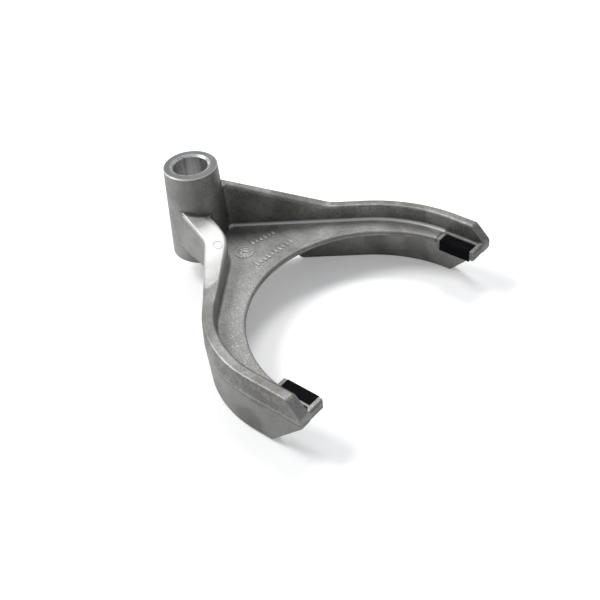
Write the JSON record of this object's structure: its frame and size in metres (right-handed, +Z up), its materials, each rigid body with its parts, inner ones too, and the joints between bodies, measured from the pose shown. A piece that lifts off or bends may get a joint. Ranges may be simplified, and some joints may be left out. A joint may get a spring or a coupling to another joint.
{
  "type": "shift fork",
  "caption": "Cast gearbox shift fork with a long rail boss, a ribbed C-shaped fork and a black wear pad clipped on each arm tip.",
  "frame": {"origin": "on the shift rail's axis, level with the middle of the wear pads", "axes": "+X from the rail boss to the open end of the fork, +Y to the straight arm, +Z up the rail"},
  "size_m": [0.1317, 0.1371, 0.0576],
  "materials": {
    "cast_aluminium": "as cast, tumbled, satin",
    "pad_plastic": "moulded, matt"
  },
  "bodies": {
    "root": {"fork_casting": "cast_aluminium", "wear_pad_straight": "pad_plastic", "wear_pad_curved": "pad_plastic"}
  },
  "joints": []
}
